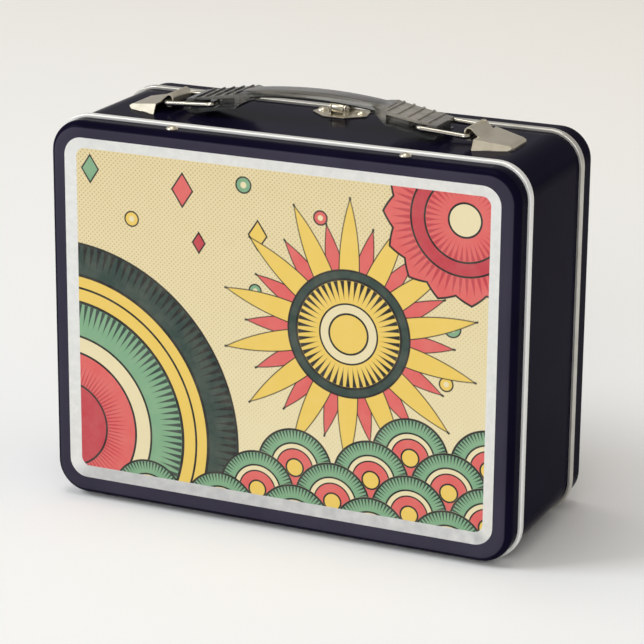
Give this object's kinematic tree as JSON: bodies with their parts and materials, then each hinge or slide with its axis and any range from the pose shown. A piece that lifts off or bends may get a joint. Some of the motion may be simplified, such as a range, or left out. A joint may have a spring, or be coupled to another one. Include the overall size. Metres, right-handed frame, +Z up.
{
  "type": "metal lunch box",
  "caption": "Flat steel lunch box: picture front, rolled rims, hinged lid, hasp, lifting grip on wire loops, and a wire bottle bail inside.",
  "frame": {"origin": "middle of the box's footprint, on the surface that it stands on", "axes": "+X along the width, -Y out of the picture side, +Y out of the lid side, +Z up"},
  "size_m": [0.197, 0.082, 0.1672],
  "materials": {
    "navy_enamel": "glossy",
    "bright_rim": "satin",
    "printed_tin": "satin print with a bright border",
    "smoke_plastic": "translucent, glossy",
    "bright_wire": "polished",
    "nickel_plate": "plated, satin"
  },
  "bodies": {
    "case": {"body_band": "navy_enamel", "front_pan": "navy_enamel", "front_rim": "bright_rim", "picture_plate": "printed_tin", "handle_clip_left": "nickel_plate", "handle_clip_right": "nickel_plate", "hasp_base": "nickel_plate", "hasp_pin": "nickel_plate", "hasp_rivets": "nickel_plate", "hinge_left_body_leaf": "nickel_plate", "hinge_left_pin": "bright_wire", "hinge_right_body_leaf": "nickel_plate", "hinge_right_pin": "bright_wire", "hinge_body_rivets": "nickel_plate", "bail_clips": "nickel_plate", "bail_rivets": "nickel_plate"},
    "lid": {"lid_pan": "navy_enamel", "lid_rim": "bright_rim", "hinge_left_lid_leaf": "nickel_plate", "hinge_right_lid_leaf": "nickel_plate", "hinge_lid_rivets": "nickel_plate"},
    "hasp": {"hasp": "nickel_plate"},
    "grip": {"handle_grip": "smoke_plastic"},
    "loop_left": {"handle_loop_left": "bright_wire"},
    "loop_right": {"handle_loop_right": "bright_wire"},
    "bail": {"bottle_bail": "bright_wire"}
  },
  "joints": [
    {"name": "lid_hinge", "type": "hinge", "parent": "case", "child": "lid", "pos_m": [0, 0.02415, 0.0013], "axis": [-1, 0, 0], "range_deg": [0, 100]},
    {"name": "hasp_hinge", "type": "hinge", "parent": "case", "child": "hasp", "pos_m": [0.0007, 0.01525, 0.1568], "axis": [1, 0, 0], "range_deg": [0, 95]},
    {"name": "handle_lift", "type": "slide", "parent": "case", "child": "grip", "axis": [0, 0, 1], "range_m": [0, 0.009]},
    {"name": "loop_right_swing", "type": "hinge", "parent": "case", "child": "loop_right", "pos_m": [0.065, -0.00225, 0.1582], "axis": [0, 1, 0], "range_deg": [0, 27.3]},
    {"name": "loop_left_swing", "type": "hinge", "parent": "case", "child": "loop_left", "pos_m": [-0.061, -0.00225, 0.1582], "axis": [0, -1, 0], "range_deg": [0, 27.3]},
    {"name": "bail_swing", "type": "hinge", "parent": "case", "child": "bail", "pos_m": [0.0014, -0.03025, 0.15165], "axis": [1, 0, 0], "range_deg": [-5, 80]}
  ],
  "couplings": [
    {"joint": "loop_right_swing", "follows": "handle_lift", "rad_per_m": 52.89},
    {"joint": "loop_left_swing", "follows": "handle_lift", "rad_per_m": 52.89}
  ]
}
